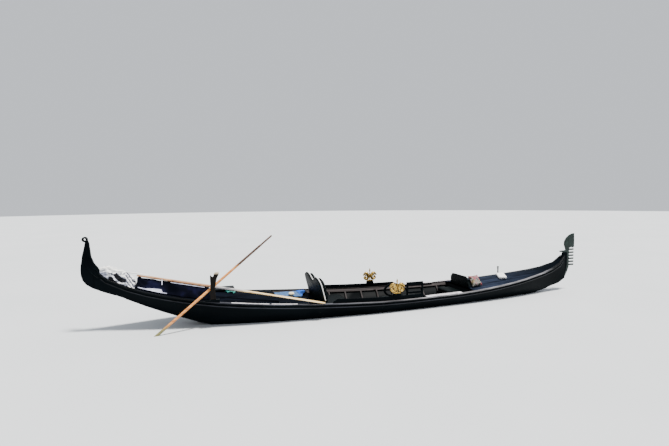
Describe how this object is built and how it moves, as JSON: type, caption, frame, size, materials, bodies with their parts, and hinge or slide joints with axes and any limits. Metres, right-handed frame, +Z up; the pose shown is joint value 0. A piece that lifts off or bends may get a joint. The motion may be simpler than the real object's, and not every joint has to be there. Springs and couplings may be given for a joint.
{
  "type": "gondola boat",
  "caption": "Long black flat-bottomed rowing boat with raised ends, toothed bow iron, stern oar on a carved rowlock, upholstered seats and side chairs.",
  "frame": {"origin": "on the waterline amidships, halfway between the stern scroll and the tip of the bow iron, on the line of the two posts", "axes": "+X to the bow, +Y to port, +Z up"},
  "size_m": [10.896, 1.7375, 2.6744],
  "materials": {
    "lacquer": "black gloss lacquer",
    "deck": "near-black gloss lacquer",
    "steel": "worn steel",
    "brass": "polished",
    "oar_wood": "varnished",
    "walnut": "oiled",
    "floor": "worn",
    "upholstery": "dark leather",
    "canvas": "white cloth",
    "navy_cloth": "dark blue cover cloth",
    "blue_cloth": "blue carpet",
    "pale": "pale, matt",
    "patterned_cloth": "flowered cloth"
  },
  "bodies": {
    "hull": {"side_stern_starboard": "lacquer", "side_aft_starboard": "lacquer", "side_fore_starboard": "lacquer", "side_bow_starboard": "lacquer", "side_stern_port": "lacquer", "side_aft_port": "lacquer", "side_fore_port": "lacquer", "side_bow_port": "lacquer", "bottom_planking": "lacquer", "stern_post": "lacquer", "stern_band": "steel", "bow_stem": "lacquer", "bow_iron": "steel", "gunwale_cap_starboard": "lacquer", "moulding_starboard": "lacquer", "gunwale_cap_port": "lacquer", "moulding_port": "lacquer", "stern_deck": "deck", "foredeck": "deck", "bulkhead_aft": "lacquer", "bulkhead_fore": "lacquer", "frames_starboard": "lacquer", "frames_port": "lacquer", "floorboards": "floor", "low_deck": "deck", "low_deck_front": "lacquer", "blue_cloth": "blue_cloth", "sponge": "pale", "main_seat_base": "lacquer", "main_seat_cushion": "upholstery", "main_seat_back": "lacquer", "main_seat_back_pad": "upholstery", "side_board_starboard": "lacquer", "side_board_port": "lacquer", "chair_aft": "lacquer", "chair_aft_cushion": "upholstery", "chair_fore": "lacquer", "chair_fore_cushion": "upholstery", "front_bench": "lacquer", "front_bench_cushion": "upholstery", "front_panel": "lacquer", "patterned_cushion": "patterned_cloth", "tread_starboard": "pale", "tread_port": "pale", "tread_port_fore": "pale", "sea_horse_starboard": "brass", "sea_horse_port": "brass", "rowlock": "walnut", "rowlock_block": "lacquer", "spare_oar": "oar_wood", "folded_cover": "canvas", "dark_cover": "navy_cloth", "foot_platform": "lacquer", "folded_cloth": "canvas", "mooring_peg": "lacquer"},
    "oar": {"oar": "oar_wood"}
  },
  "joints": [
    {"name": "oar_lift", "type": "hinge", "parent": "hull", "child": "oar", "pos_m": [-3.286, -0.414, 0.725], "axis": [-0.1992, 0.98, 0], "range_deg": [0, 34]}
  ]
}
